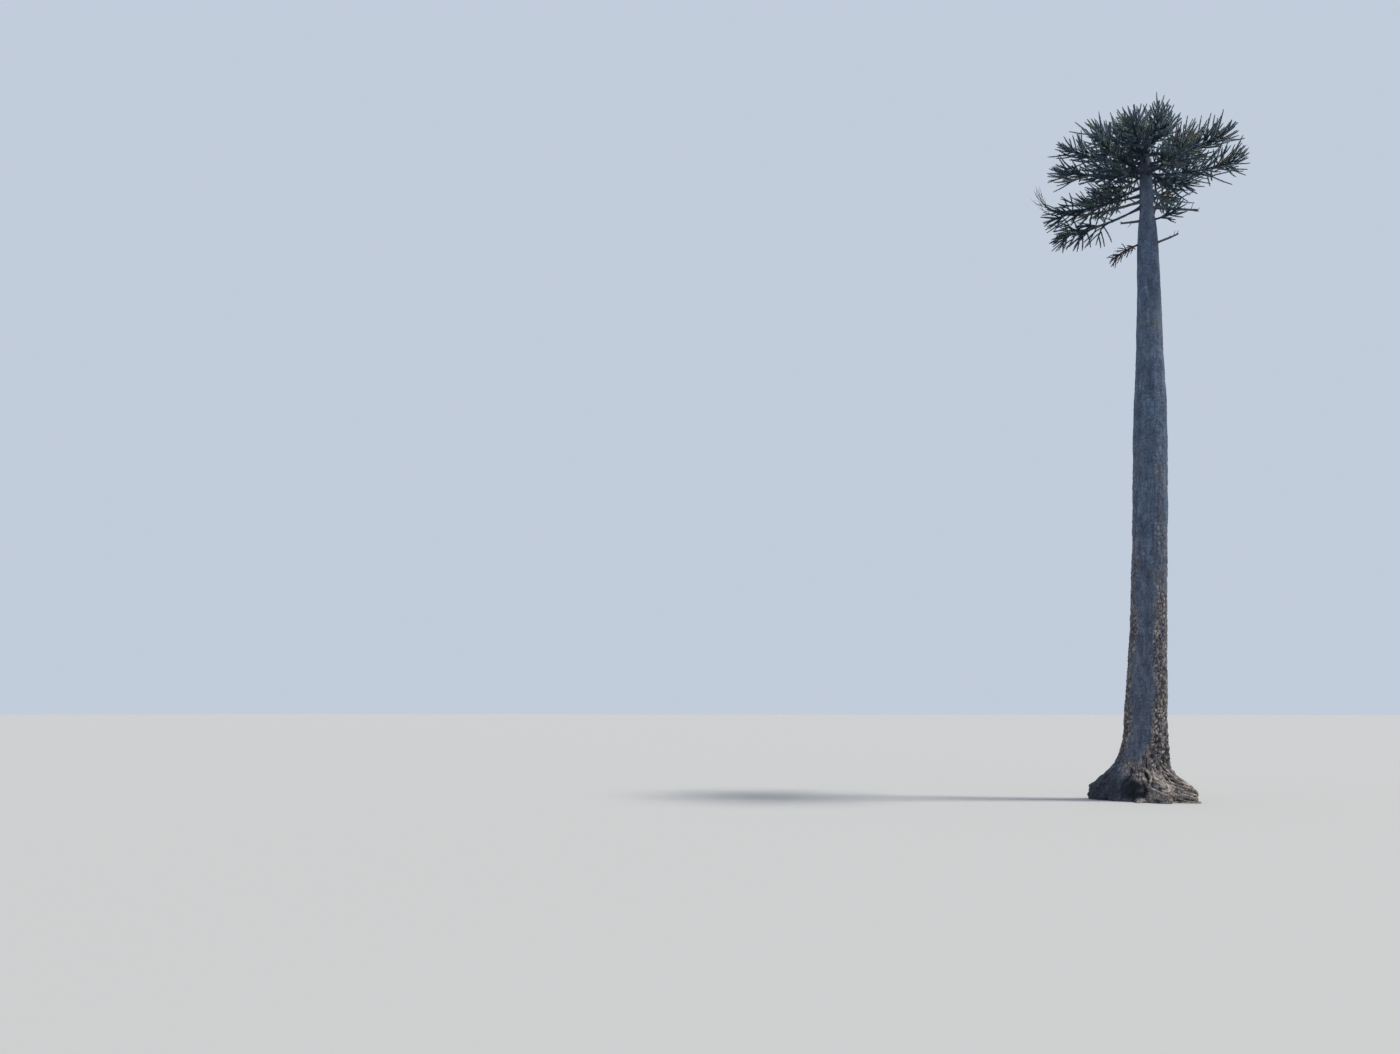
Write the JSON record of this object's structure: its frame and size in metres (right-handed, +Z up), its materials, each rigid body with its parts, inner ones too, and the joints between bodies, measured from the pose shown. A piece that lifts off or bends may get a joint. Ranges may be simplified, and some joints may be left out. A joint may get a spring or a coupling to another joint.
{
  "type": "monkey puzzle tree",
  "caption": "Old monkey puzzle tree: a tall, clear, slightly leaning trunk with flared roots, under a small open umbrella crown of upturned leafy shoots.",
  "frame": {"origin": "middle of the flat cut under the trunk, at ground level", "axes": "+Z up, and the front faces -Y, so +X is to the right as seen from the front"},
  "size_m": [5.0299, 4.2526, 17.0283],
  "materials": {
    "bark": "rough, grey-brown, ridged bark",
    "deadwood": "rough, weathered, bare wood",
    "foliage": "leathery, dark green leaves",
    "withered": "dry, reddish-brown leaves"
  },
  "bodies": {
    "root": {"trunk": "bark", "bough_crown_top_1": "bark", "foliage_crown_top_1": "foliage", "bough_crown_top_2": "bark", "foliage_crown_top_2": "foliage", "bough_crown_top_3": "bark", "foliage_crown_top_3": "foliage", "bough_upper_1": "bark", "foliage_upper_1": "foliage", "bough_upper_2": "bark", "foliage_upper_2": "foliage", "bough_upper_3": "bark", "foliage_upper_3": "foliage", "bough_upper_4": "bark", "foliage_upper_4": "foliage", "bough_high_1": "bark", "foliage_high_1": "foliage", "bough_high_2": "bark", "foliage_high_2": "foliage", "bough_high_3": "bark", "foliage_high_3": "foliage", "bough_high_4": "bark", "foliage_high_4": "foliage", "bough_high_5": "bark", "foliage_high_5": "foliage", "bough_middle_1": "bark", "foliage_middle_1": "foliage", "bough_middle_2": "bark", "foliage_middle_2": "foliage", "bough_middle_3": "bark", "foliage_middle_3": "foliage", "bough_middle_4": "bark", "foliage_middle_4": "foliage", "bough_middle_5": "bark", "foliage_middle_5": "foliage", "bough_middle_6": "bark", "foliage_middle_6": "foliage", "bough_wide_1": "bark", "foliage_wide_1": "foliage", "bough_wide_2": "bark", "foliage_wide_2": "foliage", "bough_low_left": "bark", "foliage_low_left": "foliage", "bough_hanging_left": "bark", "foliage_hanging_left": "foliage", "bough_rear": "bark", "foliage_rear": "foliage", "bough_low_back": "bark", "foliage_low_back": "foliage", "bough_low_right": "bark", "foliage_low_right": "foliage", "bough_withered_left": "bark", "foliage_withered_left": "withered", "bough_dead_left": "deadwood", "twigs_dead_left": "deadwood", "stub_right_long": "deadwood", "stub_right_low": "deadwood", "stub_left": "deadwood", "foliage_leader": "foliage"}
  },
  "joints": []
}
